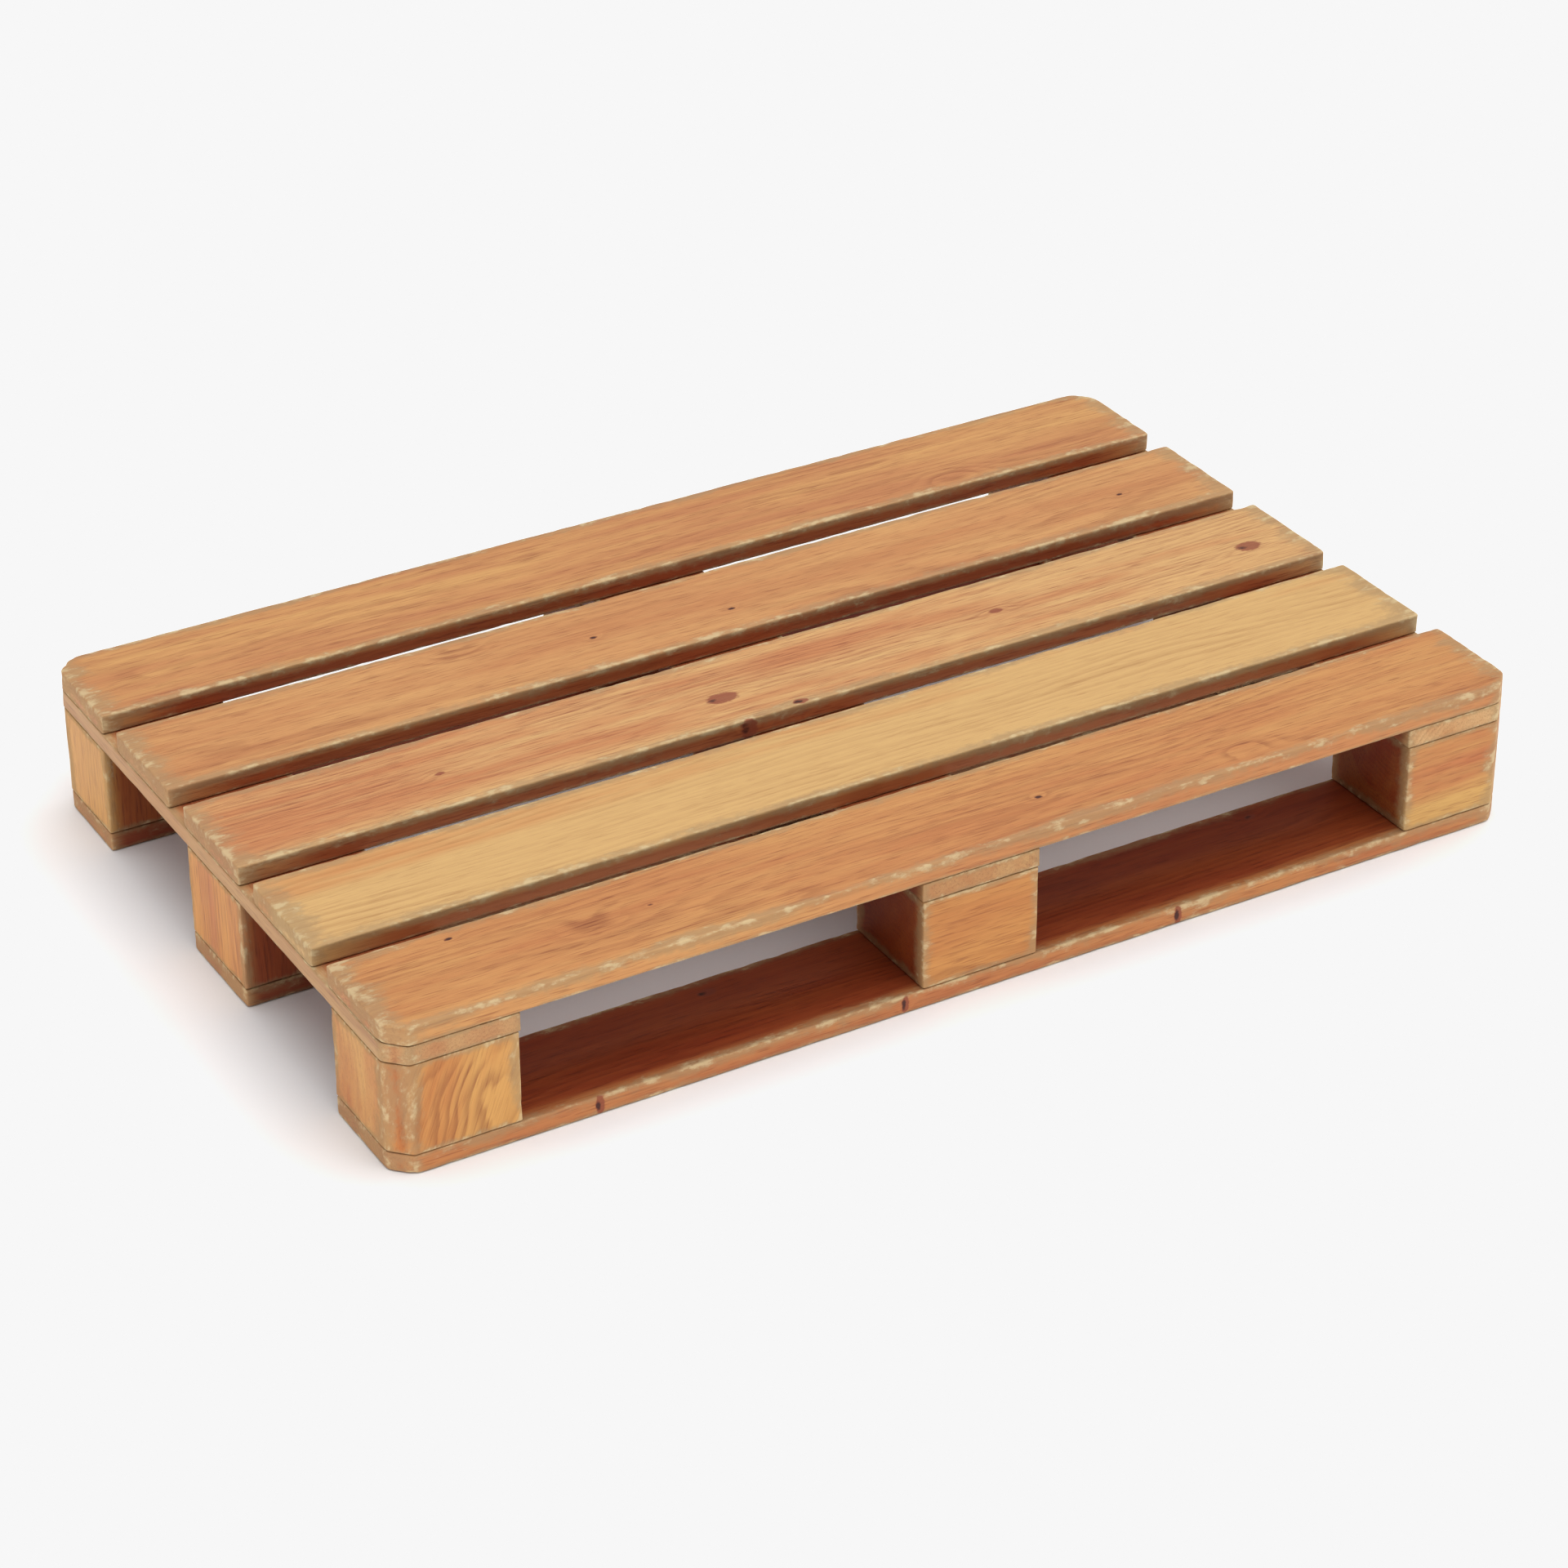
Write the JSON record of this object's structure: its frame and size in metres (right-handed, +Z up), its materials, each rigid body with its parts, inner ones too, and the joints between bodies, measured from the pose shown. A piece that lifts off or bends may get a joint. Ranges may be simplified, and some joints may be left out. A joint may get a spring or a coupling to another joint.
{
  "type": "block pallet",
  "caption": "Low four-way wooden block pallet with spaced deck boards, cross boards, blocks, bottom runners and cut corners, nailed together.",
  "frame": {"origin": "on the floor under the middle of the pallet", "axes": "+X along the pallet's length and its deck boards, +Y across it from the front long side to the back one, +Z up"},
  "size_m": [1.2, 0.75, 0.153],
  "materials": {
    "deck_wood": "satin varnished pine, rubbed bare along the edges",
    "stringer_wood": "satin varnished pine, rubbed bare along the edges",
    "block_wood": "satin varnished pine, rubbed bare along the edges",
    "bottom_wood": "satin varnished pine, rubbed bare along the edges",
    "nail_steel": "bright drawn wire"
  },
  "bodies": {
    "root": {"deck_board_front_edge": "deck_wood", "deck_board_front_inner": "deck_wood", "deck_board_centre": "deck_wood", "deck_board_back_inner": "deck_wood", "deck_board_back_edge": "deck_wood", "stringer_board_left": "stringer_wood", "stringer_board_centre": "stringer_wood", "stringer_board_right": "stringer_wood", "block_left_front": "block_wood", "block_left_middle": "block_wood", "block_left_back": "block_wood", "block_centre_front": "block_wood", "block_centre_middle": "block_wood", "block_centre_back": "block_wood", "block_right_front": "block_wood", "block_right_middle": "block_wood", "block_right_back": "block_wood", "bottom_board_front": "bottom_wood", "bottom_board_middle": "bottom_wood", "bottom_board_back": "bottom_wood", "deck_nails_front_edge": "nail_steel", "deck_nails_front_inner": "nail_steel", "deck_nails_centre": "nail_steel", "deck_nails_back_inner": "nail_steel", "deck_nails_back_edge": "nail_steel", "bottom_nails_front": "nail_steel", "bottom_nails_middle": "nail_steel", "bottom_nails_back": "nail_steel"}
  },
  "joints": []
}
